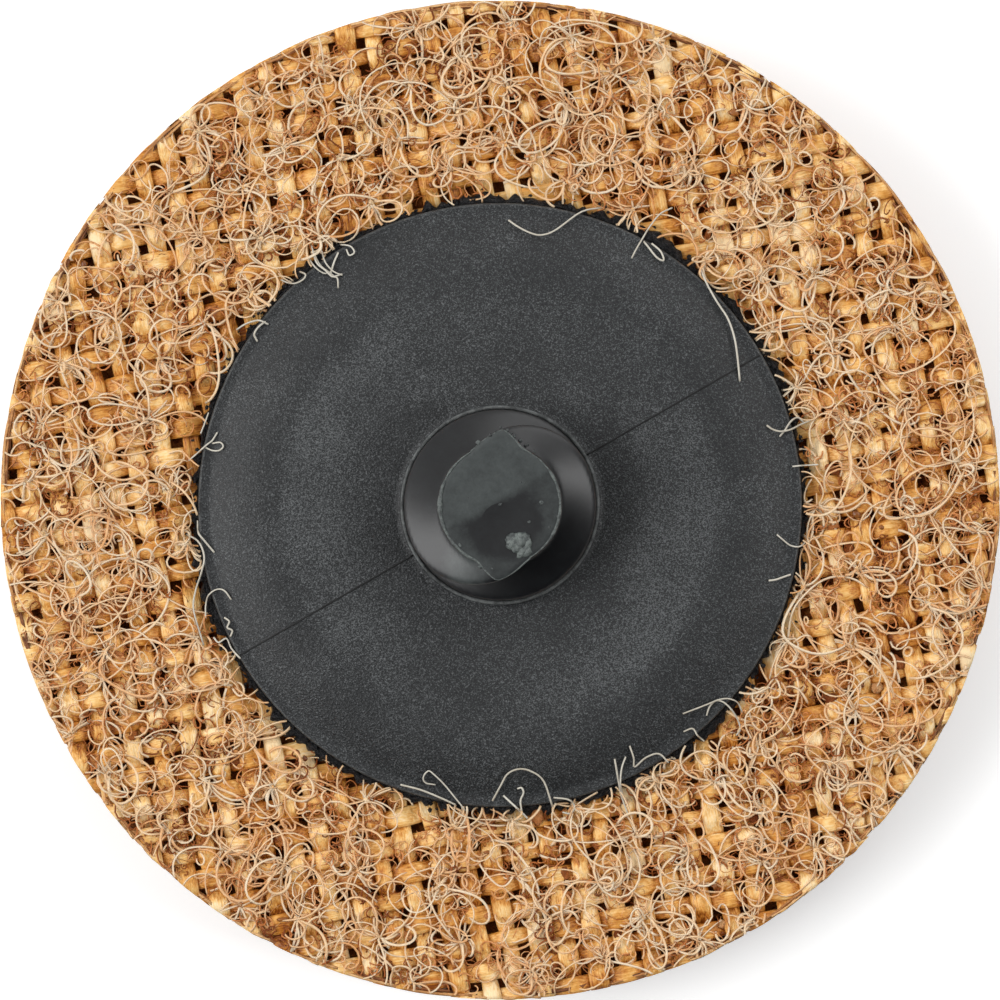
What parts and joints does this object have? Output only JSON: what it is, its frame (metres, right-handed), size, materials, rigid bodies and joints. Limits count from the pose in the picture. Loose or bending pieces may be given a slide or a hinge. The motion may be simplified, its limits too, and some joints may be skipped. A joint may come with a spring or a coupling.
{
  "type": "surface conditioning disc",
  "caption": "Round non-woven surface conditioning disc on a woven cloth backing, with a moulded plastic button and a threaded stud for quick change.",
  "frame": {"origin": "centre of the disc at its abrasive face, which lies on the floor", "axes": "+Z along the stud, away from the abrasive face; the cloth's weft yarns rise 10.3 degrees from +X"},
  "size_m": [0.05, 0.05, 0.0129],
  "materials": {
    "web": "matt, lofty needled fibre with resin and grain",
    "cloth": "matt resin-coated plain weave",
    "button": "fine spark-eroded grain, stud smooth",
    "melt": "rough melted edge"
  },
  "bodies": {
    "root": {"abrasive_web": "web", "scrim_backing": "cloth", "fastener_button": "button", "weld_bead": "melt"}
  },
  "joints": []
}
